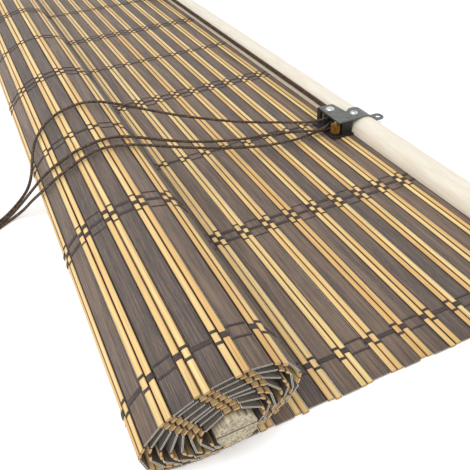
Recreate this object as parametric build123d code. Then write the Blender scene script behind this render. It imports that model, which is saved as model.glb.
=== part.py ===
from build123d import *
import os
from math import asin, atan2, cos, hypot, pi, sin, sqrt, tan

# Bamboo roll up blind, lying on a table with its lower part rolled up.
# All lengths are millimetres. X runs down the drop of the blind, from the roll
# towards the head rail. Y runs along the slats and Z points up from the table.
# While the pieces are made, x = 0 is the middle of a pair of sticks close to
# the roll and y = 0 is the near end of the slats. At the end everything is
# moved so that the origin is the bottom centre of the blind without its
# free pull cords.

# Woven mat
blind_width = 1000.0
slat_width = 10.8
slat_thick = 0.95
stick_width = 3.75
stick_thick = 1.6
weave_gap = 0.4
web_thick = 0.4
flat_pair_count_left = 2
flat_pair_count_right = 10
row_1 = 23.9
row_2 = 148.6
row_3 = 263.8
row_4 = 390.5
wide_row_half = 10.0
narrow_row_half = 5.0

# Rolled part
roll_turns = 7.25
turn_clearance = 0.29
end_slack = 1.93
roll_lean = 0.497
lean_loss = 0.8
roll_drift = -2.3
roll_centre_x = -38.8
core_clear_side = 2.6
core_clear_top = 1.65
telescope_step = 0.55

# Bottom battens in the core of the roll
batten_width = 20.0
batten_high = 9.0
batten_gap = 0.1
batten_reach = 9.2
batten_nail_count = 5
batten_nail_shank = 1.4
batten_nail_head = 3.2
batten_nail_head_high = 1.0
batten_nail_inset = 60.0

# Head rail
rail_radius = 12.5
rail_front = 185.0
rail_edge_round = 0.8
rail_nail_count = 7
rail_nail_inset = 50.0
rail_nail_shank = 1.4
rail_nail_head = 5.0
rail_nail_long = 9.0

# Sheet metal brackets on the rail
bracket_thick = 1.2
bracket_width = 36.0
bracket_near = 230.0
plate_front = 170.8
strap_width = 19.5
waist_width = 15.5
strap_clear = 0.1
strap_angle = 12.0
strap_end_width = 11.0
lug_long = 14.0
lug_round = 4.5
hang_hole = 5.0
screw_shank = 3.0
screw_head = 7.0
screw_head_high = 2.2
screw_long = 9.0
screw_set_back = 5.0
fit = 0.05

# Bodies below the brackets, which hold the wheels and the locking roller
body_thick = 1.0
body_lift = 0.7
body_front_step = 6.5
body_side_step = 3.0
body_back_gap = 0.25
side_wall_step = 3.7
side_wall_inset = 0.4
web_long = 21.0
post_width = 5.5
post_thick = 2.2
post_set_back = 0.2

# Wheels, axles and the locking roller
wheel_radius = 6.0
wheel_groove = 1.4
wheel_lip = 0.2
wheel_back = 6.2
wheel_bore = 3.2
wheel_side_play = 0.3
axle_radius = 1.5
axle_head_radius = 4.0
axle_head_high = 1.9
axle_tail_radius = 2.4
axle_tail_high = 0.6
wheel_near = 27.0
roller_radius = 4.2
roller_teeth = 24
roller_tooth = 0.35
roller_bore = 2.6
roller_collar = 0.8
roller_front = 14.4
roller_near = 4.9
roller_pin_radius = 1.2
roller_travel = 1.8
slot_clear = 0.1

# Cords
cord_thick = 2.3
cord_apart = 0.5
cord_low = 1.6
cord_off_wheel = 0.15
mouth_run = 12.6
long_run_out = 11.0
short_run_out = 9.0
far_lift_pair_index = 8
near_lift_pair_index = 9

# Coil that the pull cords' spare length is put away in, with its tie
coil_x = -146.6
coil_y = 235.9
coil_radius = 13.8
coil_lane_gap = 0.1
coil_entry = 320.0
coil_turns = 5
tie_angle = 110.0
tie_wide = 5.0
tie_thick = 0.8

# Tassel on the pull cords
tassel_radius = 7.0
tassel_long = 34.0
tassel_hole = 3.4
tassel_hole_deep = 9.0
tassel_reach = 30.0

pair_pitch = slat_width + 2 * stick_width + 3 * weave_gap
pair_half = stick_width + weave_gap
cord_stack = cord_thick + cord_apart
mat_middle = stick_thick / 2
mat_top = stick_thick
half_gap = weave_gap / 2
rail_middle = rail_front + rail_radius
rail_top = mat_top + rail_radius
rail_back = rail_front + 2 * rail_radius


def centred_rows():
    """Middle of each row of warp threads, near end to far end."""
    near = [row_1, row_2, row_3, row_4]
    far = [blind_width - place for place in reversed(near)]
    return near + [blind_width / 2] + far


def row_half(index):
    """Half the length that a row of three or of five threads covers."""
    return wide_row_half if index % 2 else narrow_row_half


def prism(points, start, length):
    """Solid of an outline in X and Z, from y = start on along +Y."""
    face = Face(Wire.make_polygon([Vector(x, start, z) for x, z in points], close=True))
    return Solid.extrude(face, Vector(0, length, 0))


def y_cylinder(radius, x, z, start, length):
    plane = Plane(origin=(x, start, z), x_dir=(1, 0, 0), z_dir=(0, 1, 0))
    return Solid.make_cylinder(radius, length, plane)


def z_cylinder(radius, x, y, bottom, high):
    return Solid.make_cylinder(radius, high, Plane(origin=(x, y, bottom)))


def block(x0, x1, y0, y1, z0, z1):
    return Pos(x0, y0, z0) * Solid.make_box(x1 - x0, y1 - y0, z1 - z0)


# Elements of the mat, in the order of one pattern: slat, stick, stick

def element_width(kind):
    return slat_width if kind == 0 else stick_width


def element_half(kind):
    return slat_thick / 2 if kind == 0 else stick_thick / 2


def crown(kind):
    """Outline of an element's upper face, as shares of width and half thickness."""
    if kind == 0:
        return ((0.0, 1.0), (1.0, 1.0))
    return ((0.0, 0.35), (0.14, 0.8), (0.5, 1.0), (0.86, 0.8), (1.0, 0.35))


def keel(kind):
    """Outline of an element's lower face, as shares of width and half thickness."""
    if kind == 0:
        return ((0.0, 1.0), (1.0, 1.0))
    return ((0.0, 0.5), (0.12, 1.0), (0.88, 1.0), (1.0, 0.5))


def flat_start():
    """Left end of the unrolled mat, half a gap outside its first stick."""
    return -flat_pair_count_left * pair_pitch - stick_width - weave_gap


def unrolled_mat():
    kinds = [1, 2, 0] * (flat_pair_count_left + flat_pair_count_right + 1)
    upper = []
    lower = []
    slits = []
    x = flat_start()
    for number, kind in enumerate(kinds):
        left = x + half_gap
        wide = element_width(kind)
        half = element_half(kind)
        for share, level in crown(kind):
            upper.append((left + share * wide, mat_middle + level * half))
        for share, level in keel(kind):
            lower.append((left + share * wide, mat_middle - level * half))
        x = left + wide + half_gap
        if number < len(kinds) - 1:
            for edge in (x - half_gap, x + half_gap):
                upper.append((edge, mat_middle + web_thick / 2))
                lower.append((edge, mat_middle - web_thick / 2))
            if kind == 0 and x < rail_front:
                slits.append(x)
    mat = prism(upper + lower[::-1], 0, blind_width)
    return mat - slit_blocks(slits) - rail_nail_holes()


def slit_blocks(places):
    """Open slits between each slat and the next pair, from row to row."""
    rows = centred_rows()
    blocks = []
    for near, far in zip(range(len(rows) - 1), range(1, len(rows))):
        start = rows[near] + row_half(near)
        end = rows[far] - row_half(far)
        for x in places:
            blocks.append(block(x - half_gap, x + half_gap, start, end, 0, mat_top))
    return blocks


# Section of the rolled part: turns that grow outwards from the core

turn_rise = stick_thick + turn_clearance
turn_spread = turn_rise + end_slack
core_half_width = batten_width / 2
core_half_high = batten_high + slat_thick / 2 + batten_gap
inner_a = core_half_width + core_clear_side
inner_b = core_half_high + core_clear_top
outer_a = inner_a + roll_turns * turn_spread
outer_b = inner_b + roll_turns * turn_rise
roll_middle_z = mat_middle + outer_b


def lean_at(share):
    """The turns lean less towards the core."""
    return roll_lean * (1 - lean_loss * share)


def spiral_point(angle):
    share = angle / (2 * pi * roll_turns)
    a = outer_a - (outer_a - inner_a) * share
    b = outer_b - (outer_b - inner_b) * share
    z = roll_middle_z - b * cos(angle)
    middle_x = roll_centre_x + roll_drift * (1 - share)
    x = middle_x - a * sin(angle) + lean_at(share) * (z - roll_middle_z)
    return x, z


def next_angle(angle, length):
    """Angle at which the spiral is one element further on."""
    x0, z0 = spiral_point(angle)
    low = angle
    high = angle + 2.5
    for _ in range(50):
        middle = (low + high) / 2
        x1, z1 = spiral_point(middle)
        if hypot(x1 - x0, z1 - z0) < length:
            low = middle
        else:
            high = middle
    return low


def roll_chain():
    """Joints between the rolled elements, their kinds and their angles."""
    bottom_x = roll_centre_x + roll_drift - roll_lean * outer_b
    angle = -asin((flat_start() - bottom_x) / outer_a)
    joints = [spiral_point(angle)]
    angles = [angle]
    kinds = []
    while True:
        kind = len(kinds) % 3
        angle = next_angle(angle, element_width(kind) + weave_gap)
        if angle > 2 * pi * roll_turns:
            return joints, kinds, angles
        joints.append(spiral_point(angle))
        angles.append(angle)
        kinds.append(kind)


def outward(p, q):
    """Unit direction from p to q, and the one that points out of the roll."""
    run = hypot(q[0] - p[0], q[1] - p[1])
    along = ((q[0] - p[0]) / run, (q[1] - p[1]) / run)
    return along, (-along[1], along[0])


def joint_point(joints, index, depth):
    """Point on the bisector of a joint, depth outside the mat's middle."""
    before = outward(joints[max(index - 1, 0)], joints[max(index, 1)])[1]
    last = len(joints) - 1
    after = outward(joints[min(index, last - 1)], joints[min(index + 1, last)])[1]
    size = hypot(before[0] + after[0], before[1] + after[1])
    across = ((before[0] + after[0]) / size, (before[1] + after[1]) / size)
    reach = depth / (across[0] * after[0] + across[1] * after[1])
    x, z = joints[index]
    return x + across[0] * reach, z + across[1] * reach


def roll_outline(joints, kinds, first, last):
    """Closed outline of the elements from first up to last."""
    outer = [joint_point(joints, first, web_thick / 2)]
    inner = []
    for number in range(first, last):
        along, out = outward(joints[number], joints[number + 1])
        x, z = joints[number]
        wide = element_width(kinds[number])
        half = element_half(kinds[number])
        for share, level in crown(kinds[number]):
            run = half_gap + share * wide
            rise = level * half
            outer.append((x + along[0] * run + out[0] * rise, z + along[1] * run + out[1] * rise))
        outer.append(joint_point(joints, number + 1, web_thick / 2))
        for end in (number, number + 1):
            point = joint_point(joints, end, -half)
            if not inner or hypot(point[0] - inner[-1][0], point[1] - inner[-1][1]) > 0.01:
                inner.append(point)
    return outer + inner[::-1]


def rolled_mat():
    """Half turns, each pushed a little further out of the near end."""
    joints, kinds, angles = roll_chain()
    pieces = []
    first = 0
    half_turns = int(angles[-1] / pi) + 1
    for half_turn in range(half_turns):
        last = max(i for i, angle in enumerate(angles) if angle <= (half_turn + 1) * pi)
        outline = roll_outline(joints, kinds, first, last)
        pieces.append(prism(outline, -half_turn * telescope_step, blind_width))
        first = last
    return pieces[0].fuse(*pieces[1:])


# Battens that hold the lower edge of the mat between them

def batten_outline(up):
    """Half-round section with its flat face at the clamped slat."""
    base = roll_middle_z + up * (slat_thick / 2 + batten_gap)
    plane = Plane(origin=(roll_centre_x, -batten_reach, base), x_dir=(1, 0, 0), z_dir=(0, 1, 0))
    whole = plane * Ellipse(batten_width / 2, batten_high)
    half = block(
        roll_centre_x - batten_width,
        roll_centre_x + batten_width,
        -batten_reach - 1,
        -batten_reach + 1,
        base if up > 0 else base - 2 * batten_high,
        base + 2 * batten_high if up > 0 else base,
    )
    return whole & half


def nail_places(count, inset, shift):
    step = (blind_width - 2 * inset) / (count - 1)
    return [shift + inset + step * number for number in range(count)]


def batten_nails():
    """Short nails driven from above through both battens and the slat."""
    top = roll_middle_z + core_half_high - batten_nail_head_high / 2
    bottom = roll_middle_z - core_half_high + batten_nail_head_high
    nails = []
    for y in nail_places(batten_nail_count, batten_nail_inset, -batten_reach):
        shank = z_cylinder(batten_nail_shank / 2, roll_centre_x, y, bottom, top - bottom)
        head_bottom = top - batten_nail_head_high
        head = z_cylinder(batten_nail_head / 2, roll_centre_x, y, head_bottom, batten_nail_head_high)
        nails.append(shank.fuse(head))
    return nails


def batten_nail_holes():
    top = roll_middle_z + core_half_high
    bottom = roll_middle_z - core_half_high + batten_nail_head_high - fit
    tools = []
    for y in nail_places(batten_nail_count, batten_nail_inset, -batten_reach):
        tools.append(z_cylinder(batten_nail_shank / 2 + fit, roll_centre_x, y, bottom, top - bottom))
        sink = top - 1.5 * batten_nail_head_high - fit
        tools.append(z_cylinder(batten_nail_head / 2 + fit, roll_centre_x, y, sink, top - sink))
    return tools


def bottom_batten(up):
    section = batten_outline(up)
    batten = Solid.extrude(section.faces()[0], Vector(0, blind_width, 0))
    return batten - batten_nail_holes()


def clamped_slat():
    half = slat_thick / 2
    left = roll_centre_x - core_half_width + weave_gap
    slat = block(left, left + slat_width, -batten_reach, blind_width - batten_reach,
                 roll_middle_z - half, roll_middle_z + half)
    return slat - batten_nail_holes()


# Head rail and the nails that hold the mat under it

def rail_nail_holes():
    """Room for each nail through the mat and into the rail."""
    tools = []
    x = (flat_pair_count_right + 0.5) * pair_pitch
    for y in nail_places(rail_nail_count, rail_nail_inset, 0):
        high = rail_nail_long + fit
        tools.append(z_cylinder(rail_nail_shank / 2 + fit, x, y, 0, high))
    return tools


def rail_nails():
    """Flat-headed nails: the heads lie in the hollow below the thin slat."""
    x = (flat_pair_count_right + 0.5) * pair_pitch
    head_high = mat_middle - slat_thick / 2 - fit
    nails = []
    for y in nail_places(rail_nail_count, rail_nail_inset, 0):
        head = z_cylinder(rail_nail_head / 2, x, y, 0, head_high)
        shank = z_cylinder(rail_nail_shank / 2, x, y, 0, rail_nail_long)
        nails.append(head.fuse(shank))
    return nails


def head_rail():
    """Half round with its flat side on the mat and its two ends eased."""
    left = (rail_front, 0, mat_top)
    right = (rail_back, 0, mat_top)
    crest = (rail_middle, 0, rail_top)
    outline = Wire([Edge.make_three_point_arc(left, crest, right), Edge.make_line(right, left)])
    rail = Solid.extrude(Face(outline), Vector(0, blind_width, 0))
    rail = rail.fillet(rail_edge_round, rail.edges().filter_by(GeomType.CIRCLE))
    holes = rail_nail_holes()
    for bracket in brackets():
        x, y, top = screw_place(bracket)
        holes.append(z_cylinder(screw_shank / 2 + fit, x, y, top - screw_long - fit, 2 * screw_long))
    return rail - holes


# Brackets. A bracket is known by the y of its outer edge and by the way in
# which its own side runs: +1 for the near one and -1 for the mirrored far one.

def brackets():
    return (bracket_near, 1), (blind_width - bracket_near, -1)


def bracket_y(bracket, run):
    edge, way = bracket
    return edge + way * run


plate_bottom = rail_top + strap_clear
plate_top = plate_bottom + bracket_thick
strap_inner = rail_radius + strap_clear
strap_outer = strap_inner + bracket_thick


def strap_profile():
    """Side view of the bent strap: plate, bend over the rail, hanging lug."""
    low = strap_angle * pi / 180
    lug_z = mat_top + strap_inner * sin(low)
    foot = rail_middle + strap_inner * cos(low)
    tip = foot + lug_long
    outer_low = asin((lug_z + bracket_thick - mat_top) / strap_outer)
    outer_foot = rail_middle + strap_outer * cos(outer_low)
    high = (low + pi / 2) / 2
    outer_high = (outer_low + pi / 2) / 2
    edges = [
        Edge.make_line((plate_front, plate_bottom), (rail_middle, plate_bottom)),
        Edge.make_three_point_arc(
            (rail_middle, plate_bottom),
            (rail_middle + strap_inner * cos(high), mat_top + strap_inner * sin(high)),
            (foot, lug_z),
        ),
        Edge.make_line((foot, lug_z), (tip, lug_z)),
        Edge.make_line((tip, lug_z), (tip, lug_z + bracket_thick)),
        Edge.make_line((tip, lug_z + bracket_thick), (outer_foot, lug_z + bracket_thick)),
        Edge.make_three_point_arc(
            (outer_foot, lug_z + bracket_thick),
            (rail_middle + strap_outer * cos(outer_high), mat_top + strap_outer * sin(outer_high)),
            (rail_middle, plate_top),
        ),
        Edge.make_line((rail_middle, plate_top), (plate_front, plate_top)),
        Edge.make_line((plate_front, plate_top), (plate_front, plate_bottom)),
    ]
    plane = Plane(origin=(0, 0, 0), x_dir=(1, 0, 0), z_dir=(0, -1, 0))
    return plane * Face(Wire(edges)), foot, tip, lug_z


def hang_hole_place(bracket):
    _, foot, tip, lug_z = strap_profile()
    return tip - lug_round, bracket_y(bracket, strap_width / 2), lug_z


def screw_place(bracket):
    return rail_middle - screw_set_back, bracket_y(bracket, strap_width / 2), plate_top


def bracket_blank(bracket):
    """Flat outline of the bracket seen from above, as a thick cutter."""
    _, foot, tip, _ = strap_profile()
    waist = rail_front + 3.0
    neck = rail_middle + rail_radius * 0.55
    middle = strap_width / 2
    lug_half = strap_end_width / 2
    runs = [
        (plate_front, 0.0),
        (neck, 0.0),
        (foot, middle - lug_half),
        (tip, middle - lug_half),
        (tip, middle + lug_half),
        (foot, middle + lug_half),
        (neck, strap_width),
        (rail_middle - 4.0, strap_width),
        (waist, waist_width),
        (rail_front + 1.0, bracket_width - 1.5),
        (plate_front + 0.8, bracket_width),
    ]
    points = [Vector(x, bracket_y(bracket, run), 0) for x, run in runs]
    face = Face(Wire.make_polygon(points, close=True))
    blank = Solid.extrude(face, Vector(0, 0, 2 * plate_top))
    corners = [edge for edge in blank.edges().filter_by(Axis.Z) if edge.center().X > foot + 1]
    return blank.fillet(lug_round - 0.2, corners)


def rail_bracket(bracket):
    """One stamping: plate over the wheels, strap over the rail, hanging lug."""
    profile, _, _, _ = strap_profile()
    low_y = min(bracket_y(bracket, 0), bracket_y(bracket, bracket_width))
    bar = Solid.extrude(Pos(0, low_y, 0) * profile.faces()[0], Vector(0, bracket_width, 0))
    shape = bar & bracket_blank(bracket)
    hole_x, hole_y, _ = hang_hole_place(bracket)
    screw_x, screw_y, _ = screw_place(bracket)
    wheel_x, wheel_y = wheel_place(bracket)
    return shape - [
        z_cylinder(hang_hole / 2, hole_x, hole_y, 0, plate_top),
        z_cylinder(screw_shank / 2 + fit, screw_x, screw_y, plate_bottom - 1, 2 * bracket_thick),
        z_cylinder(axle_radius + fit, wheel_x, wheel_y, plate_bottom - 1, 3 * bracket_thick),
    ]


def bracket_screw(bracket):
    """Domed wood screw with a cross slot, through the strap into the rail."""
    x, y, top = screw_place(bracket)
    shank = z_cylinder(screw_shank / 2, x, y, top - screw_long, screw_long)
    slot = 0.8
    dome = dome_head(x, y, top, screw_head / 2, screw_head_high)
    cut_bottom = top + screw_head_high * 0.45
    arm = screw_head * 0.33
    dome = dome - [
        block(x - arm, x + arm, y - slot / 2, y + slot / 2, cut_bottom, top + 2 * screw_head_high),
        block(x - slot / 2, x + slot / 2, y - arm, y + arm, cut_bottom, top + 2 * screw_head_high),
    ]
    return shank.fuse(dome)


def dome_head(x, y, bottom, radius, high):
    """Cap of a ball, radius wide at its foot and high tall."""
    ball = (radius * radius + high * high) / (2 * high)
    sphere = Pos(x, y, bottom + high - ball) * Solid.make_sphere(ball, angle1=-90, angle2=90, angle3=360)
    return sphere & z_cylinder(radius, x, y, bottom, high)


# Bodies below the brackets

body_top = plate_bottom - fit
body_bottom = mat_top + body_lift
body_back = rail_front - body_back_gap
chamber_bottom = body_bottom + body_thick
chamber_top = body_top - body_thick


def bracket_body(bracket, with_roller):
    """Sheet channel open to the front, with a web at the rail and a post."""
    near = bracket_y(bracket, -body_side_step)
    far = bracket_y(bracket, bracket_width)
    low_y, high_y = min(near, far), max(near, far)
    front = plate_front - body_front_step
    flange_near = bracket_y(bracket, side_wall_inset)
    upper_y = sorted((flange_near, far))
    lower = block(front, body_back, low_y, high_y, body_bottom, chamber_bottom)
    corner = [e for e in lower.edges().filter_by(Axis.Z) if e.center().X < front + 1]
    lower = lower.fillet(3.0, corner)
    upper = block(plate_front + 0.3, body_back, upper_y[0], upper_y[1], chamber_top, body_top)
    web_y = sorted((flange_near, bracket_y(bracket, web_long)))
    web = block(body_back - body_thick, body_back, web_y[0], web_y[1], body_bottom, body_top)
    post_x = plate_front + post_set_back
    post_y = sorted((bracket_y(bracket, bracket_width - post_width), far))
    post = block(post_x, post_x + post_thick, post_y[0], post_y[1], body_bottom, body_top)
    wall_y = sorted((flange_near, bracket_y(bracket, side_wall_inset + body_thick)))
    wall = block(plate_front + side_wall_step, body_back, wall_y[0], wall_y[1], body_bottom, body_top)
    shape = lower.fuse(upper, web, post, wall)
    wheel_x, wheel_y = wheel_place(bracket)
    tools = [z_cylinder(axle_radius + fit, wheel_x, wheel_y, 0, 2 * rail_top)]
    if with_roller:
        tools.append(roller_slot())
        tools.append(cord_eye())
    return shape - tools


def wheel_place(bracket):
    return rail_front - wheel_back - fit, bracket_y(bracket, wheel_near)


def groove_levels():
    """Height of the lower and the upper rail cord."""
    low = chamber_bottom + cord_low + cord_stack
    return low, low + cord_stack


def cord_wheel(bracket):
    """Turned wheel with one groove for each rail cord."""
    x, y = wheel_place(bracket)
    bottom = chamber_bottom + wheel_side_play
    top = chamber_top - wheel_side_play
    deep = wheel_radius - wheel_groove
    half = (cord_stack - wheel_lip) / 2
    floor = cord_thick * 0.36
    outline = [(wheel_bore / 2 + fit, bottom), (wheel_radius, bottom)]
    for level in groove_levels():
        outline.append((wheel_radius, level - half))
        outline.append((deep, level - floor))
        outline.append((deep, level + floor))
        outline.append((wheel_radius, level + half))
    outline += [(wheel_radius, top), (wheel_bore / 2 + fit, top)]
    face = Face(Wire.make_polygon([Vector(r, 0, z) for r, z in outline], close=True))
    return Pos(x, y, 0) * Solid.revolve(face, 360, Axis.Z)


def wheel_axle(bracket):
    """Rivet with a domed head above and a flattened tail below."""
    x, y = wheel_place(bracket)
    shank = z_cylinder(axle_radius, x, y, body_bottom, plate_top - body_bottom)
    head = dome_head(x, y, plate_top, axle_head_radius, axle_head_high)
    tail = z_cylinder(axle_tail_radius, x, y, body_bottom - axle_tail_high, axle_tail_high)
    return shank.fuse(head, tail)


# Locking roller: knurled brass on a pin that slides in two slots

def roller_place():
    return rail_front - roller_front, bracket_near + roller_near


def roller_slot():
    x, y = roller_place()
    radius = roller_pin_radius + slot_clear
    end = y + roller_travel
    tall = 2 * rail_top
    bar = block(x - radius, x + radius, y, end, 0, tall)
    return bar.fuse(z_cylinder(radius, x, y, 0, tall), z_cylinder(radius, x, end, 0, tall))


def lock_roller():
    x, y = roller_place()
    bottom = chamber_bottom + wheel_side_play
    high = chamber_top - wheel_side_play - bottom
    points = []
    for number in range(2 * roller_teeth):
        radius = roller_radius if number % 2 == 0 else roller_radius - roller_tooth
        turn = pi * number / roller_teeth
        points.append(Vector(x + radius * cos(turn), y + radius * sin(turn), bottom + roller_collar))
    knurl = Face(Wire.make_polygon(points, close=True))
    drum = Solid.extrude(knurl, Vector(0, 0, high - 2 * roller_collar))
    core = z_cylinder(roller_radius - 1.0, x, y, bottom, high)
    bore = z_cylinder(roller_bore / 2 + fit, x, y, bottom - 1, high + 2)
    return drum.fuse(core) - bore


def roller_pin():
    x, y = roller_place()
    return z_cylinder(roller_pin_radius, x, y, body_bottom, body_top - body_bottom - fit)


# Cords. Each free route is a list of points chosen by hand, with the corners
# rounded as far as its runs allow. A taut cord's corners fit what it rounds.

low_cord, high_cord = groove_levels()
floor_cord = chamber_bottom + cord_low
wheel_line = wheel_radius - wheel_groove + cord_thick / 2 + cord_off_wheel
mouth_x = plate_front - body_front_step + 1.5
mouth_a = Vector(mouth_x, bracket_near + wheel_near - wheel_line, high_cord)
mouth_b = Vector(mouth_x, bracket_near + mouth_run, low_cord)
mouth_c = Vector(mouth_x, bracket_near + mouth_run, floor_cord)
lift_x = near_lift_pair_index * pair_pitch + pair_half


def swept(name, points, radii):
    """Round cord along straight runs joined by arcs."""
    path = FilletPolyline(*points, radius=radii)
    section = Plane(origin=path.position_at(0), z_dir=path.tangent_at(0)) * Circle(cord_thick / 2)
    tube = sweep(section.faces()[0], path=path, transition=Transition.RIGHT)
    share = tube.volume / (path.length * pi * cord_thick * cord_thick / 4)
    print(name, "length", round(path.length, 1), "volume share", round(share, 4),
          "radii", [round(radius, 1) for radius in radii])
    return tube


def free_cord(name, points):
    radii = []
    for before, corner, after in zip(points, points[1:], points[2:]):
        run_in = corner - before
        run_out = after - corner
        half_turn = run_in.get_angle(run_out) * pi / 360
        radii.append(0.45 * min(run_in.length, run_out.length) / tan(half_turn))
    return swept(name, points, radii)


def wheel_exit(mouth):
    """Corner at which a cord that comes along the rail turns to its mouth."""
    wheel_x, wheel_y = wheel_place(brackets()[0])
    across = wheel_x - mouth.X
    along = wheel_y - mouth.Y
    turn = atan2(across, along) + asin(wheel_line / hypot(across, along))
    return Vector(wheel_x + wheel_line, wheel_y - wheel_line * tan(turn / 2), mouth.Z)


def rail_cord(name, rise_x, mouth):
    """Lift cord: up through the mat, round the far wheel, along the rail,
    round the lock's wheel and out past the roller."""
    far_x, far_y = wheel_place(brackets()[1])
    over = far_y + wheel_line
    points = [
        Vector(rise_x, over, mat_top),
        Vector(rise_x, over, mouth.Z),
        Vector(far_x + wheel_line, over, mouth.Z),
        wheel_exit(mouth),
        mouth,
    ]
    return swept(name, points, [2.5, wheel_line, wheel_line])


def near_lift_cord():
    """Short held stretch from the eye in the lock's floor to its mouth."""
    foot = Vector(lift_x, mouth_c.Y, mat_top)
    return swept("near_lift_cord", [foot, Vector(lift_x, mouth_c.Y, floor_cord), mouth_c], [1.6])


def cord_eye():
    """Hole in the lock's floor where the near lift cord comes up."""
    return z_cylinder(cord_thick / 2 + 0.3, lift_x, mouth_c.Y, 0, chamber_bottom + 1)


def straight_out(mouth, held_from, run):
    """Point straight on from the held part of a cord."""
    way = mouth - held_from
    return mouth + way * (run / way.length)


# Coil of the spare length, wound clockwise seen from above, lane beside lane

def coil_lane(lane):
    """Radius of a cord's turns: lane -1 is the inner one and +1 the outer."""
    return coil_radius + lane * (cord_thick + coil_lane_gap)


def coil_point(lane, angle, height):
    turn = angle * pi / 180
    radius = coil_lane(lane)
    return Vector(coil_x + radius * cos(turn), coil_y + radius * sin(turn), height)


def coil_way(run):
    """Level step along the cords' way into and out of the coil."""
    turn = coil_entry * pi / 180
    return Vector(sin(turn) * run, -cos(turn) * run, 0)


coil_high = (coil_turns + 1) * cord_thick


def cord_coil():
    inner = coil_lane(-1) - cord_thick / 2
    outer = coil_lane(1) + cord_thick / 2
    ring = z_cylinder(outer, coil_x, coil_y, 0, coil_high)
    return ring - z_cylinder(inner, coil_x, coil_y, -1, coil_high + 2)


def tie_frame(grow):
    """Block across the coil's bundle, grown by a wall on the free sides."""
    inner_wall = coil_lane(-1) - cord_thick / 2
    inner = sqrt(inner_wall * inner_wall - tie_wide * tie_wide / 4) - fit - grow
    outer = coil_lane(1) + cord_thick / 2 + fit + grow
    top = coil_high + fit + grow
    bar = block(inner, outer, -tie_wide / 2, tie_wide / 2, 0, top)
    return Pos(coil_x, coil_y, 0) * Rot(0, 0, tie_angle) * bar


def coil_tie():
    """Strap over the bundle; its two legs stand on the table beside it."""
    return tie_frame(tie_thick) - tie_frame(0)


# The three pull cords rise over the roll and go down its far side together.
route_a = [
    mouth_a,
    straight_out(mouth_a, wheel_exit(mouth_a), long_run_out),
    Vector(139.0, 258.5, 11.8),
    Vector(118.0, 265.5, 14.2),
    Vector(95.5, 271.8, 17.7),
    Vector(75.3, 277.5, 22.6),
    Vector(54.5, 283.5, 28.0),
    Vector(32.0, 290.5, 35.0),
    Vector(9.0, 297.8, 43.2),
    Vector(-8.0, 301.0, 49.8),
    Vector(-20.4, 303.4, 52.9),
    Vector(-31.8, 304.2, 53.4),
    Vector(-43.7, 303.4, 51.7),
    Vector(-52.5, 302.1, 49.5),
    Vector(-59.8, 299.2, 46.6),
    Vector(-66.4, 295.0, 43.4),
    Vector(-72.8, 288.2, 39.4),
    Vector(-77.4, 280.0, 35.2),
    Vector(-80.8, 268.5, 31.5),
    Vector(-83.8, 258.5, 27.5),
    Vector(-88.5, 252.0, 21.3),
    Vector(-94.4, 252.8, 14.0),
    Vector(-100.5, 256.0, 7.0),
    Vector(-109.0, 253.5, 2.0),
    Vector(-117.0, 247.6, 1.15),
    Vector(-125.0, 241.3, 1.15),
]
route_b = [
    mouth_b,
    straight_out(mouth_b, wheel_exit(mouth_b), short_run_out),
    Vector(142.5, 241.0, 10.2),
    Vector(121.0, 242.0, 13.7),
    Vector(100.0, 240.4, 17.0),
    Vector(80.0, 238.2, 20.6),
    Vector(61.0, 237.6, 24.6),
    Vector(43.5, 236.6, 29.4),
    Vector(26.0, 236.4, 35.0),
    Vector(9.0, 236.0, 41.6),
    Vector(-6.0, 238.0, 46.9),
    Vector(-20.0, 236.0, 52.0),
    Vector(-32.5, 234.2, 53.2),
    Vector(-42.3, 233.4, 52.0),
    Vector(-51.9, 233.0, 49.8),
    Vector(-61.9, 232.6, 45.6),
    Vector(-69.9, 233.6, 41.3),
    Vector(-75.4, 235.2, 36.9),
    Vector(-80.8, 238.2, 31.2),
    Vector(-85.0, 241.2, 25.8),
    Vector(-89.4, 244.6, 20.0),
    Vector(-95.5, 249.2, 12.0),
    Vector(-101.8, 252.8, 4.8),
    Vector(-110.0, 249.0, 1.4),
    Vector(-118.0, 243.4, 1.15),
]
route_c = [
    mouth_c,
    mouth_c + Vector(-long_run_out, 0, 0),
    Vector(137.5, 238.6, 5.4),
    Vector(116.5, 236.4, 7.8),
    Vector(96.2, 233.6, 11.9),
    Vector(76.4, 232.0, 17.0),
    Vector(58.8, 230.0, 22.6),
    Vector(41.0, 228.2, 28.8),
    Vector(24.0, 226.2, 35.2),
    Vector(7.0, 224.6, 42.0),
    Vector(-9.5, 222.8, 48.7),
    Vector(-25.0, 220.8, 53.0),
    Vector(-35.9, 221.8, 53.0),
    Vector(-45.7, 220.2, 51.5),
    Vector(-55.6, 218.0, 48.5),
    Vector(-65.5, 217.6, 44.0),
    Vector(-71.5, 218.5, 40.2),
    Vector(-77.6, 221.5, 34.6),
    Vector(-81.4, 224.6, 30.4),
    Vector(-85.8, 231.5, 23.5),
    Vector(-90.4, 239.0, 16.0),
    Vector(-96.5, 245.2, 7.7),
    Vector(-103.0, 248.4, 2.1),
    Vector(-111.5, 244.2, 1.15),
    Vector(-119.5, 238.2, 1.15),
]


def into_coil(route, lane):
    """Route with its last run along the first stretch of its lane."""
    entry = coil_point(lane, coil_entry, cord_thick / 2)
    return route + [entry - coil_way(8.0), entry]


def tail_ends():
    """Three short tails from the top of the coil into the tassel's mouth."""
    tails = []
    for lane, side, lift in ((-1, 1.35, -0.8), (0, 0.0, 1.6), (1, -1.35, -0.8)):
        start = coil_point(lane, coil_entry, coil_high - cord_thick / 2)
        aside = tassel_side() * side + Vector(0, 0, tassel_radius + lift)
        mouth = tassel_mouth() + aside
        points = [
            start,
            start + coil_way(8.0),
            mouth - coil_way(7.0),
            mouth + coil_way(tassel_hole_deep - 3.0),
        ]
        tails.append(free_cord("tail", points))
    return tails


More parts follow.
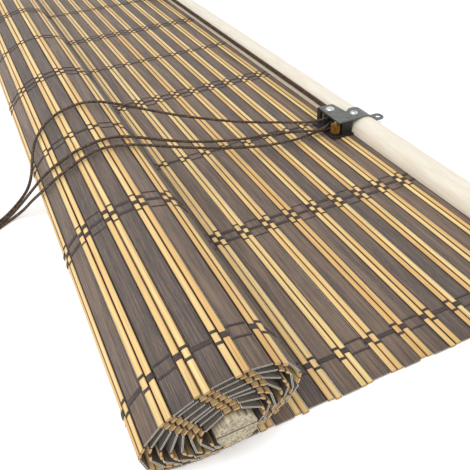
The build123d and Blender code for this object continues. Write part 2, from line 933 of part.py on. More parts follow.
def tassel_side():
    """Unit step to the tassel's right, seen along the cords' way."""
    turn = coil_entry * pi / 180
    return Vector(-cos(turn), -sin(turn), 0)


def tassel_mouth():
    """Foot of the tassel's open end, in line with the cords that leave."""
    start = coil_point(0, coil_entry, 0)
    return start + coil_way(tassel_reach)


def cord_tassel():
    """Turned wooden acorn that lies on the table with its mouth to the cords."""
    shape = [
        (0.0, 1.0),
        (0.34, 0.985),
        (0.66, 0.91),
        (0.92, 0.76),
        (1.0, 0.58),
        (0.94, 0.4),
        (0.76, 0.22),
        (0.66, 0.1),
        (0.7, 0.04),
        (0.66, 0.0),
    ]
    outline = [Vector(r * tassel_radius, share * tassel_long, 0) for r, share in shape]
    curve = Edge.make_spline(outline)
    mouth = Edge.make_line(outline[-1], Vector(0, 0, 0))
    middle = Edge.make_line(Vector(0, 0, 0), outline[0])
    body = Solid.revolve(Face(Wire([curve, mouth, middle])), 360, Axis.Y)
    hole = y_cylinder(tassel_hole, 0, 0, -1, tassel_hole_deep + 1)
    lying = Rot(0, 0, coil_entry - 180) * (body - hole)
    foot = tassel_mouth()
    return Pos(foot.X, foot.Y, tassel_radius) * lying


def all_nodes():
    near, far = brackets()
    held = {
        "mat_unrolled": unrolled_mat(),
        "mat_rolled": rolled_mat(),
        "head_rail": head_rail(),
        "rail_nails": Compound(children=rail_nails()),
        "bottom_batten_upper": bottom_batten(1),
        "bottom_batten_lower": bottom_batten(-1),
        "clamped_slat": clamped_slat(),
        "batten_nails": Compound(children=batten_nails()),
        "lock_bracket": rail_bracket(near),
        "lock_body": bracket_body(near, True),
        "lock_screw": bracket_screw(near),
        "lock_wheel": cord_wheel(near),
        "lock_wheel_axle": wheel_axle(near),
        "lock_roller": lock_roller(),
        "lock_roller_pin": roller_pin(),
        "pulley_bracket": rail_bracket(far),
        "pulley_body": bracket_body(far, False),
        "pulley_screw": bracket_screw(far),
        "pulley_wheel": cord_wheel(far),
        "pulley_axle": wheel_axle(far),
        "rail_cord_upper": rail_cord("rail_cord_upper", far_lift_pair_index * pair_pitch, mouth_a),
        "rail_cord_lower": rail_cord("rail_cord_lower", far_lift_pair_index * pair_pitch + pair_half, mouth_b),
        "near_lift_cord": near_lift_cord(),
    }
    free = {
        "pull_cord_a": free_cord("pull_cord_a", into_coil(route_a, -1)),
        "pull_cord_b": free_cord("pull_cord_b", into_coil(route_b, 0)),
        "pull_cord_c": free_cord("pull_cord_c", into_coil(route_c, 1)),
        "pull_cord_coil": cord_coil(),
        "pull_cord_ends": Compound(children=tail_ends()),
        "coil_tie": coil_tie(),
        "cord_tassel": cord_tassel(),
    }
    return held, free


def centre_shift(held):
    """Move that brings the bottom centre of the blind to the origin."""
    boxes = [shape.bounding_box() for shape in held.values()]
    x = (min(b.min.X for b in boxes) + max(b.max.X for b in boxes)) / 2
    y = (min(b.min.Y for b in boxes) + max(b.max.Y for b in boxes)) / 2
    z = min(b.min.Z for b in boxes)
    return Pos(-x, -y, -z)


held_nodes, free_nodes = all_nodes()
shift = centre_shift(held_nodes)
print("shift", tuple(round(value, 4) for value in shift.position))
os.makedirs("parts", exist_ok=True)
for node_name, node_shape in {**held_nodes, **free_nodes}.items():
    export_step(shift * node_shape, f"parts/{node_name}.step")
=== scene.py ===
import random
from math import asin, copysign, cos, pi, radians, sin

import bpy
from mathutils import Matrix, Vector


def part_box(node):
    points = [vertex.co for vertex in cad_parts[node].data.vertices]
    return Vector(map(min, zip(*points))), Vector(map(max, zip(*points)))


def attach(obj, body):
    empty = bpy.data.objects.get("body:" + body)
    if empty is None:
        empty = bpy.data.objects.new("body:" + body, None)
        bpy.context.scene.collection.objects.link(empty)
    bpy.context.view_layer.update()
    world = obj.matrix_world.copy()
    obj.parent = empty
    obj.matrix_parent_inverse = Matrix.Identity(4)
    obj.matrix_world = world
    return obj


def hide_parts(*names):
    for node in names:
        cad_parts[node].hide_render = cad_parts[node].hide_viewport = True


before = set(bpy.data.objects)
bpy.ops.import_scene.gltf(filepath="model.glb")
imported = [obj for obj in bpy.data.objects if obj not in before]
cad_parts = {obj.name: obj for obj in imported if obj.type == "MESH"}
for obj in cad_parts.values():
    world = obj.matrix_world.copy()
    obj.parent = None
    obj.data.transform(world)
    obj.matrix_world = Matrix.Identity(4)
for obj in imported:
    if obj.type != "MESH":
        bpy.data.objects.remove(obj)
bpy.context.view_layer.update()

# Photographer's place. The camera stands near the left front corner of the blind, a
# quarter of a metre above the table, and looks along the slats. Lengths here are in
# millimetres from the near end of the slats and from the pair of sticks by the roll.
rail_low, rail_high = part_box("head_rail")
rail_front = 185.0
camera_stand = (-92.28, -148.72, 250.58)
camera_turn = 0.397
camera_tilt = 0.660
camera_roll = 0.066
photo_width = 470
focal_pixels = 579.401


def place(x, y, z):
    """Point of the blind in metres, from millimetres along the mat."""
    return Vector((rail_low[0] + (x - rail_front) * 0.001, rail_low[1] + y * 0.001, z * 0.001))


def turned_camera():
    flat = cos(camera_tilt)
    forward = Vector((sin(camera_turn) * flat, cos(camera_turn) * flat, -sin(camera_tilt)))
    level = Vector((cos(camera_turn), -sin(camera_turn), 0))
    down = forward.cross(level)
    right = cos(camera_roll) * level + sin(camera_roll) * down
    up = sin(camera_roll) * level - cos(camera_roll) * down
    columns = Matrix((right, up, -forward)).transposed()
    return Matrix.Translation(place(*camera_stand)) @ columns.to_4x4()


camera_data = bpy.data.cameras.new("photo_camera")
camera_data.sensor_width = 36
camera_data.lens = focal_pixels * camera_data.sensor_width / photo_width
camera_data.clip_start = 0.01
camera = bpy.data.objects.new("photo_camera", camera_data)
camera.matrix_world = turned_camera()
bpy.context.scene.collection.objects.link(camera)
bpy.context.scene.camera = camera
bpy.context.scene.view_settings.view_transform = "Standard"


# Table top and light. The blind lies on a plain white table that runs out of the
# picture, under a pale room and one broad lamp from the upper left.

class Wire:
    """Output of a shader node. Sums and products of wires add Math nodes."""

    def __init__(self, finish, socket):
        self.finish = finish
        self.socket = socket

    def maths(self, operation, first, second):
        return self.finish.add("ShaderNodeMath", {"operation": operation}, {0: first, 1: second})

    def __add__(self, other):
        return self.maths("ADD", self, other)

    def __radd__(self, other):
        return self.maths("ADD", other, self)

    def __mul__(self, other):
        return self.maths("MULTIPLY", self, other)

    def __rmul__(self, other):
        return self.maths("MULTIPLY", other, self)


class Finish:
    """Material of one finish, or the light of the room, made of nodes."""

    def __init__(self, name, room=None):
        self.holder = room or bpy.data.materials.new(name)
        self.holder.use_nodes = True
        self.tree = self.holder.node_tree
        self.tree.nodes.clear()

    def add(self, kind, settings=None, values=None, out=0):
        """New node of a kind, its settings set first, then its sockets. Gives one output."""
        node = self.tree.nodes.new(kind)
        for name, setting in (settings or {}).items():
            setattr(node, name, setting)
        for name, value in (values or {}).items():
            if isinstance(value, Wire):
                self.tree.links.new(value.socket, node.inputs[name])
            else:
                node.inputs[name].default_value = value
        return Wire(self, node.outputs[out]) if node.outputs else node

    def blend(self, factor, first, second):
        """Colour between two colours, each a wire or a colour."""
        return self.add("ShaderNodeMix", {"data_type": "RGBA"}, {0: factor, 6: first, 7: second}, 2)

    def noise(self, vector, scale, detail=2.0, roughness=0.5):
        values = {"Vector": vector, "Scale": scale, "Detail": detail, "Roughness": roughness}
        return self.add("ShaderNodeTexNoise", {}, values)

    def position(self):
        return self.add("ShaderNodeTexCoord", out="Object")

    def stretched(self, vector, scale):
        return self.add("ShaderNodeMapping", {}, {"Vector": vector, "Scale": scale})

    def band(self, value, low, high):
        """Share from 0 at low to 1 at high."""
        return self.add("ShaderNodeMapRange", {}, {0: value, 1: low, 2: high})

    def seen(self):
        """Share of 1 for what the camera sees, also in metal."""
        seen = self.add("ShaderNodeLightPath", out="Is Camera Ray")
        for kind in ("Glossy", "Transmission"):
            seen = seen + self.add("ShaderNodeLightPath", out="Is %s Ray" % kind)
        return self.band(seen, 0.0, 1.0)

    def bump(self, height, distance, strength=1.0):
        values = {"Height": height, "Distance": distance, "Strength": strength}
        return self.add("ShaderNodeBump", {}, values)

    def shade(self, **inputs):
        values = {name.replace("_", " "): value for name, value in inputs.items()}
        shader = self.add("ShaderNodeBsdfPrincipled", {}, values)
        self.add("ShaderNodeOutputMaterial", {}, {"Surface": shader})
        return self.holder


def srgb(red, green, blue):
    """Colour for a shader from the 0 to 255 values of a screen."""
    parts = []
    for value in (red, green, blue):
        share = value / 255
        parts.append(share / 12.92 if share <= 0.04045 else ((share + 0.055) / 1.055) ** 2.4)
    return (*parts, 1.0)


table_half = 6.0
table_drop = 0.0002
table_glow = 0.32
room_light_level = 0.86
table = bpy.data.meshes.new("table")
table.from_pydata([(-table_half, -table_half, 0), (table_half, -table_half, 0),
                   (table_half, table_half, 0), (-table_half, table_half, 0)], [], [(0, 1, 2, 3)])
table_top = bpy.data.objects.new("table", table)
table_top.location.z = -table_drop
bpy.context.scene.collection.objects.link(table_top)


def table_finish():
    finish = Finish("table_white")
    glow = finish.blend(finish.seen(), srgb(0, 0, 0), srgb(255, 255, 255))
    return finish.shade(Base_Color=srgb(250, 250, 250), Roughness=0.9, Specular_IOR_Level=0.1,
                        Emission_Color=glow, Emission_Strength=table_glow)


def room_light():
    """Pale surroundings: white to the camera, a little dimmer as light."""
    room = bpy.data.worlds.new("room")
    bpy.context.scene.world = room
    finish = Finish("room", room)
    level = room_light_level + finish.seen() * (1 - room_light_level)
    glow = finish.add("ShaderNodeBackground", {}, {"Color": srgb(253, 254, 255), "Strength": level})
    finish.add("ShaderNodeOutputWorld", {}, {"Surface": glow})


def broad_lamp(name, size, power, spot, aim):
    lamp = bpy.data.lights.new(name, "AREA")
    lamp.size = size
    lamp.energy = power
    holder = bpy.data.objects.new(name, lamp)
    holder.location = spot
    holder.rotation_euler = (Vector(aim) - Vector(spot)).to_track_quat("-Z", "Y").to_euler()
    bpy.context.scene.collection.objects.link(holder)


table.materials.append(table_finish())
room_light()
broad_lamp("window", 1.4, 13.0, (-0.9, -0.6, 1.5), (0.0, -0.1, 0.0))

# Pull cords. Three braided brown cords, 2.3 mm thick, leave the mouth of the lock,
# climb over the roll, drop down its far side and run off along the table. The length
# past the picture's edge is wound into a coil with a tie, and ends in a wooden acorn.
cord_thick = 2.3
mouth_x = 165.8
route_a = [
    (mouth_x, 251.1, 10.5), (154.8, 251.1, 10.5), (139.0, 258.5, 11.8), (118.0, 265.5, 14.2),
    (95.5, 271.8, 17.7), (75.3, 277.5, 22.6), (54.5, 283.5, 28.0), (32.0, 290.5, 35.0),
    (9.0, 297.8, 43.2), (-8.0, 301.0, 49.8), (-20.4, 303.4, 52.9), (-31.8, 304.2, 53.4),
    (-43.7, 303.4, 51.7), (-52.5, 302.1, 49.5), (-59.8, 299.2, 46.6), (-66.4, 295.0, 43.4),
    (-72.8, 288.2, 39.4), (-77.4, 280.0, 35.2), (-80.8, 268.5, 31.5), (-83.8, 258.5, 27.5),
    (-88.5, 252.0, 21.3), (-94.4, 252.8, 14.0), (-100.5, 256.0, 7.0), (-109.0, 253.5, 2.0),
    (-117.0, 247.6, 1.15), (-125.0, 241.3, 1.15),
]
route_b = [
    (mouth_x, 242.6, 7.7), (158.05, 238.0, 7.7), (142.5, 241.0, 10.2), (121.0, 242.0, 13.7),
    (100.0, 240.4, 17.0), (80.0, 238.2, 20.6), (61.0, 237.6, 24.6), (43.5, 236.6, 29.4),
    (26.0, 236.4, 35.0), (9.0, 236.0, 41.6), (-6.0, 238.0, 46.9), (-20.0, 236.0, 52.0),
    (-32.5, 234.2, 53.2), (-42.3, 233.4, 52.0), (-51.9, 233.0, 49.8), (-61.9, 232.6, 45.6),
    (-69.9, 233.6, 41.3), (-75.4, 235.2, 36.9), (-80.8, 238.2, 31.2), (-85.0, 241.2, 25.8),
    (-89.4, 244.6, 20.0), (-95.5, 249.2, 12.0), (-101.8, 252.8, 4.8), (-110.0, 249.0, 1.4),
    (-118.0, 243.4, 1.15),
]
route_c = [
    (mouth_x, 242.6, 4.9), (154.8, 242.6, 4.9), (137.5, 238.6, 5.4), (116.5, 236.4, 7.8),
    (96.2, 233.6, 11.9), (76.4, 232.0, 17.0), (58.8, 230.0, 22.6), (41.0, 228.2, 28.8),
    (24.0, 226.2, 35.2), (7.0, 224.6, 42.0), (-9.5, 222.8, 48.7), (-25.0, 220.8, 53.0),
    (-35.9, 221.8, 53.0), (-45.7, 220.2, 51.5), (-55.6, 218.0, 48.5), (-65.5, 217.6, 44.0),
    (-71.5, 218.5, 40.2), (-77.6, 221.5, 34.6), (-81.4, 224.6, 30.4), (-85.8, 231.5, 23.5),
    (-90.4, 239.0, 16.0), (-96.5, 245.2, 7.7), (-103.0, 248.4, 2.1), (-111.5, 244.2, 1.15),
    (-119.5, 238.2, 1.15),
]
coil_middle = (-146.6, 235.9)
coil_radius = 13.8
coil_entry = radians(320.0)
coil_turns = 5
coil_points = 16
lane_pitch = 2.4
tassel_reach = 30.0
tassel_radius = 7.0


def coil_spot(lane, turn, height):
    """Point of a lane of the coil, turn radians clockwise after its entry."""
    radius = coil_radius + lane * lane_pitch
    angle = coil_entry - turn
    return (coil_middle[0] + radius * cos(angle), coil_middle[1] + radius * sin(angle), height)


def coil_way(point, run):
    """Point moved level along the cords' way into and out of the coil."""
    return (point[0] + sin(coil_entry) * run, point[1] - cos(coil_entry) * run, point[2])


def whole_route(route, lane, side, lift):
    """Route from the lock through the coil to the acorn's mouth."""
    low = cord_thick / 2
    points = list(route)
    points.append(coil_way(coil_spot(lane, 0, low), -8.0))
    steps = coil_turns * coil_points
    for step in range(steps + 1):
        points.append(coil_spot(lane, 2 * pi * step / coil_points, low + cord_thick * step / coil_points))
    points.append(coil_way(points[-1], 8.0))
    mouth = coil_way(coil_spot(0, 0, tassel_radius), tassel_reach)
    across = (mouth[0] - cos(coil_entry) * side, mouth[1] - sin(coil_entry) * side, mouth[2] + lift)
    return points + [coil_way(across, -7.0), coil_way(across, 6.0)]


def braided_finish():
    """Braid of dark brown yarns with paler ones, seen as slanting flecks."""
    finish = Finish("braided_cord")
    spot = finish.position()
    coarse = finish.noise(spot, 800.0, 3.0, 0.6)
    flecks = finish.band(finish.noise(spot, 1000.0, 1.0), 0.56, 0.66)
    brown = finish.blend(finish.band(coarse, 0.38, 0.62), srgb(40, 30, 24), srgb(78, 60, 46))
    colour = finish.blend(flecks * 0.75, brown, srgb(158, 128, 94))
    return finish.shade(Base_Color=colour, Roughness=0.75, Normal=finish.bump(coarse, 0.0004, 0.8))


cord_finish = braided_finish()


def lay_cord(name, points):
    """Round cord along a smooth line near its route's points."""
    curve = bpy.data.curves.new(name, "CURVE")
    curve.dimensions = "3D"
    spline = curve.splines.new("NURBS")
    spline.points.add(len(points) - 1)
    for target, point in zip(spline.points, points):
        target.co = (*place(*point), 1.0)
    spline.order_u = 3
    spline.use_endpoint_u = True
    spline.resolution_u = 5
    curve.bevel_depth = cord_thick / 2000
    curve.bevel_resolution = 2
    curve.use_fill_caps = True
    curve.materials.append(cord_finish)
    cord = bpy.data.objects.new(name, curve)
    bpy.context.scene.collection.objects.link(cord)
    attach(cord, "blind")
    return cord


def pull_cords():
    plan = (("a", route_a, -1, 1.35, -0.8), ("b", route_b, 0, 0.0, 1.6), ("c", route_c, 1, -1.35, -0.8))
    for letter, route, lane, side, lift in plan:
        cord = lay_cord("braided_cord_" + letter, whole_route(route, lane, side, lift))
        if letter == "b":
            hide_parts("pull_cord_b", "pull_cord_coil", "pull_cord_ends")
        else:
            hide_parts("pull_cord_" + letter)
        place(*route[0])


pull_cords()

# Woven mat. Dark stained bamboo slats and pairs of pale sticks are laid side by side
# and woven together with rows of thread. The lower part of the mat is rolled up, so
# each slat and stick follows the line of the turns, with its own place and end.
slat_width = 10.8
slat_thick = 0.95
stick_width = 3.75
stick_thick = 1.6
weave_gap = 0.4
pair_pitch = slat_width + 2 * stick_width + 3 * weave_gap
mat_middle = stick_thick / 2
pairs_left = 2
pairs_right = 10
roll_turns = 7.25
turn_rise = stick_thick + 0.29
turn_spread = turn_rise + 1.93
batten_half_width = 10.0
batten_high = 9.0
batten_slip = 0.1
core_clear = 2.6
core_clear_high = 1.65
core_half_width = batten_half_width + core_clear
core_half_high = batten_high + slat_thick / 2 + batten_slip + core_clear_high
outer_a = core_half_width + roll_turns * turn_spread
outer_b = core_half_high + roll_turns * turn_rise
roll_x = -38.8
roll_z = mat_middle + outer_b
roll_lean = 0.497
lean_loss = 0.8
roll_drift = -2.3
telescope_step = 0.55
blind_width = 1000.0
mat_end = -pairs_left * pair_pitch - stick_width - weave_gap
first_turn = 2 * pi + 0.9
widest_step = 2.5
halvings = 40
chance = random.Random(11)


class Element:
    """One slat or stick of the mat and where its middle line lies."""

    def __init__(self, kind, start, end, near, outer):
        self.kind = kind
        self.start = Vector(start)
        self.end = Vector(end)
        self.near = near
        self.outer = outer
        self.along = (self.end - self.start).normalized()
        self.out = Vector((-self.along.y, self.along.x))
        self.middle = (self.start + self.end) / 2
        self.wide = slat_width if kind == "slat" else stick_width
        self.half = (slat_thick if kind == "slat" else stick_thick) / 2
        self.tone = chance.random()
        self.trim = chance.uniform(-0.5, 0.9)


def flat_elements():
    """Elements of the unrolled mat from the roll to the head rail."""
    x = mat_end
    row = []
    for kind in ["stick", "stick", "slat"] * (pairs_left + pairs_right + 1):
        wide = slat_width if kind == "slat" else stick_width
        row.append(Element(kind, (x + wide + weave_gap, mat_middle), (x, mat_middle), 0.0, True))
        row[-1].out = Vector((0, 1))
        x += wide + weave_gap
    return row


def turn_point(angle):
    """Point of the turns' middle line, angle radians from the table inwards."""
    share = angle / (2 * pi * roll_turns)
    a = outer_a + (core_half_width - outer_a) * share
    b = outer_b + (core_half_high - outer_b) * share
    z = roll_z - b * cos(angle)
    middle_x = roll_x + roll_drift * (1 - share)
    return middle_x - a * sin(angle) + roll_lean * (1 - lean_loss * share) * (z - roll_z), z


def rolled_elements():
    """Elements of the roll, from the table round to the core."""
    angle = -asin((mat_end - roll_x - roll_drift + roll_lean * outer_b) / outer_a)
    row = []
    while True:
        kind = ("slat", "stick", "stick")[len(row) % 3]
        chord = (slat_width if kind == "slat" else stick_width) + weave_gap
        here = Vector(turn_point(angle))
        low, high = angle, angle + widest_step
        for _ in range(halvings):
            middle = (low + high) / 2
            if (Vector(turn_point(middle)) - here).length < chord:
                low = middle
            else:
                high = middle
        if low > 2 * pi * roll_turns:
            return row
        near = -telescope_step * low / pi
        row.append(Element(kind, here, turn_point(low), near, low < first_turn))
        angle = low


def slat_outline(element):
    """Thin slat with eased edges: points across and out, and each side's finish."""
    u = element.wide / 2
    v = element.half
    ease = 0.14
    third = u * 0.33
    upper = [(-u, v - ease), (-u + ease, v), (-third, v), (third, v), (u - ease, v), (u, v - ease)]
    lower = [(across, -out) for across, out in reversed(upper)]
    return upper + lower, [0, 0, 0, 0, 0, 1] * 2


def stick_outline(element):
    """Stick with a round back on both sides."""
    u = element.wide / 2
    v = element.half
    points = []
    for step in range(12):
        turn = pi - 2 * pi * (step + 0.5) / 12
        c, s = cos(turn), sin(turn)
        points.append((copysign(u * abs(c) ** 0.62, c), copysign(v * abs(s) ** 0.5, s)))
    return points, [0] * 12


def add_element(mesh, element, outline, sides, inset):
    """Append one slat or stick to the lists of a mesh under way."""
    points, faces, finishes, across, tones, edges, depths = mesh
    near = element.near + element.trim
    far = blind_width + element.near - chance.uniform(0.2, 1.4)
    count = 30 if element.outer else 3
    stations = [near + (far - near) * step / (count - 1) for step in range(count)]
    sway_u, sway_v = chance.uniform(0, 6), chance.uniform(0, 6)
    ring = len(outline)
    base = len(points)

    def add_ring(y, inset_now):
        drift = 0.1 * sin(y / 97 + sway_u) + 0.05 * sin(y / 31 + sway_v)
        lift = 0.05 * sin(y / 71 + sway_v) if element.outer else 0.0
        for u, v in outline:
            spread_u = copysign(max(abs(u) - inset_now, 0), u) + drift
            spread_v = copysign(max(abs(v) - inset_now, 0), v) + lift
            spot = element.middle + element.along * spread_u + element.out * spread_v
            points.append(place(spot.x, y, spot.y))
            across.append(u + 20 * element.tone)
            tones.append(element.tone)
            edges.append(abs(u) / (element.wide / 2))
            # depth is 1 for the hidden turns inside the roll, and it masks their painted shade.
            depths.append(0.0 if element.outer else 1.0)

    add_ring(stations[0], inset)
    for y in stations:
        add_ring(y, 0.0)
    add_ring(stations[-1], inset)
    for row in range(count + 1):
        at_end = row in (0, count)
        for step in range(ring):
            a = base + row * ring + step
            b = base + row * ring + (step + 1) % ring
            faces.append((a, b, b + ring, a + ring))
            finishes.append(2 if at_end else sides[step])
    faces.append(tuple(base + step for step in reversed(range(ring))))
    finishes.append(3)
    last = base + (count + 1) * ring
    faces.append(tuple(last + step for step in range(ring)))
    finishes.append(3)


def mat_piece(name, elements, outline_of, materials, inset, *nodes):
    """One piece of all slats or all sticks, with eased ends."""
    mesh = ([], [], [], [], [], [], [])
    for element in elements:
        outline, sides = outline_of(element)
        add_element(mesh, element, outline, sides, inset)
    points, faces, finishes, across, tones, edges, depths = mesh
    data = bpy.data.meshes.new(name)
    data.from_pydata(points, [], faces)
    for material in materials:
        data.materials.append(material)
    data.polygons.foreach_set("material_index", finishes)
    for label, values in (("across", across), ("tone", tones), ("edge", edges), ("depth", depths)):
        data.attributes.new(label, "FLOAT", "POINT").data.foreach_set("value", values)
    data.polygons.foreach_set("use_smooth", [len(face) == 4 for face in faces])
    piece = bpy.data.objects.new(name, data)
    bpy.context.scene.collection.objects.link(piece)
    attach(piece, "blind")
    if nodes:
        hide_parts(*nodes)
    return piece


def grain_place(finish, long_scale, cross_scale):
    """Point that runs slowly along the slats and fast across them."""
    spot = finish.add("ShaderNodeSeparateXYZ", {}, {0: finish.position()}, "Y")
    across = finish.add("ShaderNodeAttribute", {"attribute_name": "across"}, out="Fac")
    tone = finish.add("ShaderNodeAttribute", {"attribute_name": "tone"}, out="Fac")
    parts = {0: across * cross_scale, 1: spot * long_scale, 2: tone * 40}
    return finish.add("ShaderNodeCombineXYZ", {}, parts), tone


def edge_share(finish):
    """Share from 0 in the middle of a slat or stick to 1 at its sides."""
    return finish.add("ShaderNodeAttribute", {"attribute_name": "edge"}, out="Fac")


def painted_roll_shade(finish, colour):
    """Painted shade: darker colour for the slats and sticks that lie inside the roll, where little light
    gets between the turns.
    """
    depth = finish.add("ShaderNodeAttribute", {"attribute_name": "depth"}, out="Fac")
    return finish.blend(depth * 0.62, colour, srgb(34, 29, 26))


def slat_finish():
    """Stained bamboo: warm grey brown, some slats darker, with fine streaks, and a line of painted shadow
    along each side.
    """
    finish = Finish("stained_slat")
    vector, tone = grain_place(finish, 30.0, 4.2)
    fine = finish.noise(vector, 1.0, 4.0, 0.7)
    broad_vector, _ = grain_place(finish, 14.0, 0.3)
    broad = finish.noise(broad_vector, 1.0, 3.0, 0.6)
    warm = finish.blend(finish.band(broad, 0.38, 0.62), srgb(128, 107, 91), srgb(93, 80, 71))
    stain = finish.blend(finish.band(tone + broad * 0.3, 0.85, 1.15), warm, srgb(80, 72, 69))
    speck_vector, _ = grain_place(finish, 150.0, 3.0)
    speck = finish.noise(speck_vector, 1.0, 2.0, 0.6)
    mottled = finish.blend(finish.band(speck, 0.52, 0.7) * 0.5, stain, srgb(152, 122, 98))
    dark = finish.blend(finish.band(fine, 0.5, 0.32), mottled, srgb(50, 40, 36))
    streaked = finish.blend(finish.band(fine, 0.54, 0.7) * 0.6, dark, srgb(170, 143, 120))
    # Painted shadow: a near-black line along both sides of each slat stands in for the shade in the gaps
    # beside it.
    gap_shadowed = finish.blend(finish.band(edge_share(finish), 0.88, 0.96), streaked, srgb(26, 21, 20))
    rough = finish.band(fine, -0.6, 1.6) * 0.5 + 0.3
    normal = finish.bump(fine, 0.0003, 0.5)
    return finish.shade(Base_Color=painted_roll_shade(finish, gap_shadowed), Roughness=rough, Normal=normal)


def stick_finish():
    """Pale bamboo: straw yellow to tan, with painted shade: tan over its rounded sides and near black at
    its edges, where the gaps beside it lie in shadow.
    """
    finish = Finish("pale_stick")
    vector, tone = grain_place(finish, 20.0, 3.4)
    fine = finish.noise(vector, 1.0, 4.0, 0.65)
    broad_vector, _ = grain_place(finish, 9.0, 0.4)
    broad = finish.noise(broad_vector, 1.0, 2.0)
    ripe = finish.band(tone * 0.6 + broad * 0.7, 0.35, 0.95)
    straw = finish.blend(ripe, srgb(246, 220, 154), srgb(228, 186, 118))
    streaked = finish.blend(finish.band(fine, 0.5, 0.3), straw, srgb(178, 128, 70))
    # Painted shade: the rounded sides of each stick turn tan where the back curves away from the light.
    edge = edge_share(finish) + fine * 0.08
    side_shaded = finish.blend(finish.band(edge, 0.5, 0.94) * 0.8, streaked, srgb(202, 148, 84))
    # Painted shadow: near black at the very edge of each stick, for the shade in the gaps beside it.
    colour = painted_roll_shade(finish, finish.blend(finish.band(edge, 0.86, 1.0), side_shaded, srgb(46, 29, 18)))
    return finish.shade(Base_Color=colour, Roughness=0.45, Normal=finish.bump(fine, 0.0003, 0.4))


def raw_finish(name, first, second):
    """Cut bamboo: short fibre ends."""
    finish = Finish(name)
    fine = finish.noise(finish.position(), 1800.0, 3.0, 0.7)
    colour = finish.blend(finish.band(fine, 0.35, 0.65), first, second)
    return finish.shade(Base_Color=colour, Roughness=0.8, Normal=finish.bump(fine, 0.0002, 0.5))


bare_edge = raw_finish("bare_slat_edge", srgb(236, 230, 214), srgb(206, 198, 180))
slat_end = raw_finish("slat_end", srgb(84, 88, 86), srgb(132, 132, 124))
stick_end = raw_finish("stick_end", srgb(226, 184, 126), srgb(188, 140, 86))
stick_rim = raw_finish("stick_rim", srgb(112, 76, 44), srgb(66, 44, 28))
flat_row = flat_elements()
roll_row = rolled_elements()
mat_row = flat_row[::-1] + roll_row
slats = [element for element in mat_row if element.kind == "slat"]
sticks = [element for element in mat_row if element.kind == "stick"]
mat_piece("dark_slats", slats, slat_outline, [slat_finish(), bare_edge, bare_edge, slat_end], 0.2,
          "mat_unrolled", "mat_rolled")
pale = stick_finish()
mat_piece("pale_sticks", sticks, stick_outline, [pale, pale, stick_rim, stick_end], 0.2)

# Warp threads. Rows of three and of five dark threads run down the blind and pass over
# and under the slats and sticks in turn, each beside its neighbour. The inner threads of
# a row are flat bundles of soft yarn, the outer ones single twisted threads.
row_places = [23.9, 148.6, 263.8, 390.5, 500.0, 609.5, 736.2, 851.4, 976.1]
bundle_wide = 3.9
bundle_high = 0.55
single_wide = 1.3
single_high = 0.6
thread_sides = 8
thread_proud = 0.2


def thread_plan(row):
    """Place across the row and width of each of its threads."""
    if row % 2:
        inner = [(offset, bundle_wide) for offset in (-4.5, 0.0, 4.5)]
        return [(-8.8, single_wide)] + inner + [(8.8, single_wide)]
    return [(-3.9, 1.4 * single_wide), (0.0, bundle_wide), (3.9, 1.4 * single_wide)]


def thread_spots(row, number, y, wide):
    """Centre line of one thread: a spot, a way out, a place along y and a width."""
    spots = []
    for index, element in enumerate(mat_row):
        if not element.outer:
            break
        rolled = index >= len(flat_row)
        front = (index + number) % 2 == 0
        side = 1 if front != rolled else -1
        reach = element.half + (thread_proud if side > 0 or rolled else 0.0)
        sway = y + 0.35 * sin(index * 0.9 + row) + 0.25 * sin(index * 2.3 + number)
        first, step = element.start, element.along
        half_wide = element.wide / 2
        snug = 0.8 if element.kind == "slat" else 1.0
        spots.append((first, element.out, sway, wide * 0.6))
        for share in (-0.98, -0.8, 0.0, 0.8, 0.98):
            lift = 0.55 if abs(share) > 0.9 else 1.0
            spot = element.middle + step * half_wide * share + element.out * side * reach * lift
            spots.append((spot, element.out, sway, wide * snug))
    return spots


def weave_threads():
    """All threads as one piece. They are pressed flat where they lie on the table."""
    points = []
    faces = []
    twist = []
    for row, middle in enumerate(row_places):
        for number, (offset, wide) in enumerate(thread_plan(row)):
            high = bundle_high if wide == bundle_wide else single_high
            spots = thread_spots(row, number, middle + offset, wide)
            base = len(points)
            for spot, out, sway, spread in spots:
                for step in range(thread_sides):
                    turn = 2 * pi * step / thread_sides
                    rise = spot + out * (sin(turn) * high / 2)
                    points.append(place(rise.x, sway + cos(turn) * spread / 2, max(rise.y, 0.0)))
                    twist.append(cos(turn) * spread)
            for ring in range(len(spots) - 1):
                for step in range(thread_sides):
                    a = base + ring * thread_sides + step
                    b = base + ring * thread_sides + (step + 1) % thread_sides
                    faces.append((a, b, b + thread_sides, a + thread_sides))
            faces.append(tuple(base + step for step in reversed(range(thread_sides))))
            last = base + (len(spots) - 1) * thread_sides
            faces.append(tuple(last + step for step in range(thread_sides)))
    data = bpy.data.meshes.new("warp_threads")
    data.from_pydata(points, [], faces)
    data.attributes.new("twist", "FLOAT", "POINT").data.foreach_set("value", twist)
    data.polygons.foreach_set("use_smooth", [True] * len(faces))
    data.materials.append(thread_finish())
    piece = bpy.data.objects.new("warp_threads", data)
    bpy.context.scene.collection.objects.link(piece)
    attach(piece, "blind")


def thread_finish():
    """Dark brown yarn: fine strands run along each bundle."""
    finish = Finish("dark_thread")
    across = finish.add("ShaderNodeAttribute", {"attribute_name": "twist"}, out="Fac")
    spot = finish.add("ShaderNodeSeparateXYZ", {}, {0: finish.position()}, "X")
    vector = finish.add("ShaderNodeCombineXYZ", {}, {0: spot * 260.0, 1: across * 2.6})
    strand = finish.noise(vector, 1.0, 3.0, 0.6)
    colour = finish.blend(finish.band(strand, 0.35, 0.68), srgb(36, 28, 26), srgb(98, 82, 78))
    return finish.shade(Base_Color=colour, Roughness=0.7, Normal=finish.bump(strand, 0.0004, 0.7))


weave_threads()

# Wooden parts. The head rail is a half-round with thin off-white paint; the two
# battens in the core of the roll and the acorn on the cords are turned or planed wood.


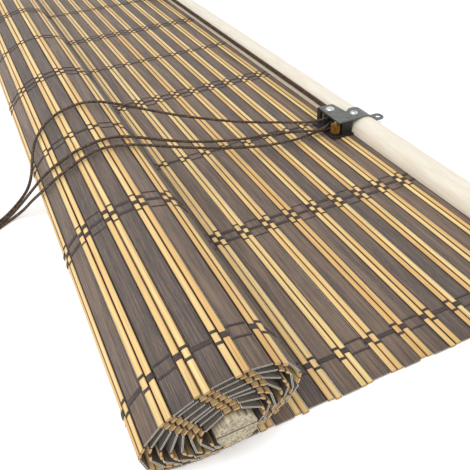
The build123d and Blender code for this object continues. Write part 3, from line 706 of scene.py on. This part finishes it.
def wood_finish(name, light, dark, scale, stretch, rough):
    finish = Finish(name)
    vector = finish.stretched(finish.position(), stretch)
    grain = finish.noise(vector, scale, 5.0, 0.6)
    colour = finish.blend(finish.band(grain, 0.35, 0.7), light, dark)
    return finish.shade(Base_Color=colour, Roughness=rough, Normal=finish.bump(grain, 0.0003, 0.3))


def dress(material, *nodes):
    """Give solids that keep their own shape a finish."""
    for name in nodes:
        solid = bpy.data.objects[name]
        for slot in solid.material_slots:
            slot.material = material


along_grain = (6.0, 0.5, 6.0)
rail_paint = wood_finish("rail_paint", srgb(242, 234, 218), srgb(228, 217, 197), 60.0, along_grain, 0.5)
dress(rail_paint, "head_rail")
batten_grain = (6.0, 0.6, 6.0)
batten_wood = wood_finish("batten_wood", srgb(212, 198, 170), srgb(112, 98, 76), 130.0, batten_grain, 0.7)
dress(batten_wood, "bottom_batten_upper", "bottom_batten_lower")
acorn_grain = (3.0, 1.0, 3.0)
acorn_wood = wood_finish("acorn_wood", srgb(104, 66, 42), srgb(66, 40, 26), 120.0, acorn_grain, 0.35)
dress(acorn_wood, "cord_tassel")
last_grain = (6.0, 0.4, 6.0)
last_slat = wood_finish("clamped_slat_wood", srgb(100, 84, 78), srgb(66, 56, 54), 120.0, last_grain, 0.5)
dress(last_slat, "clamped_slat")


# Lock and pulley. Sheet steel brackets in a blue-grey plating, black painted bodies,
# black wheels, a knurled brass roller, and bright rivets, screws and nails.


def metal_finish(name, base, dark, rough, metallic):
    finish = Finish(name)
    wear = finish.noise(finish.position(), 350.0, 4.0, 0.65)
    colour = finish.blend(finish.band(wear, 0.35, 0.7), base, dark)
    level = finish.band(wear, 0.2, 0.9) * 0.2 + rough
    normal = finish.bump(wear, 0.0002, 0.2)
    return finish.shade(Base_Color=colour, Roughness=level, Metallic=metallic, Normal=normal)


plating = metal_finish("bracket_plating", srgb(116, 119, 113), srgb(88, 91, 86), 0.3, 0.6)
black_paint = metal_finish("black_paint", srgb(38, 38, 40), srgb(26, 26, 28), 0.35, 0.0)
black_plastic = metal_finish("black_plastic", srgb(34, 34, 36), srgb(24, 24, 25), 0.45, 0.0)
brass = metal_finish("roller_brass", srgb(176, 134, 62), srgb(120, 86, 36), 0.35, 0.8)
steel = metal_finish("bright_steel", srgb(228, 230, 230), srgb(186, 188, 188), 0.2, 0.9)
dress(plating, "lock_bracket", "pulley_bracket")
dress(black_paint, "lock_body", "pulley_body")
dress(black_plastic, "lock_wheel", "pulley_wheel")
dress(brass, "lock_roller")
dress(steel, "lock_wheel_axle", "pulley_axle", "lock_screw", "pulley_screw", "lock_roller_pin")
dress(steel, "rail_nails", "batten_nails")
dress(cord_finish, "rail_cord_upper", "rail_cord_lower", "near_lift_cord", "coil_tie")
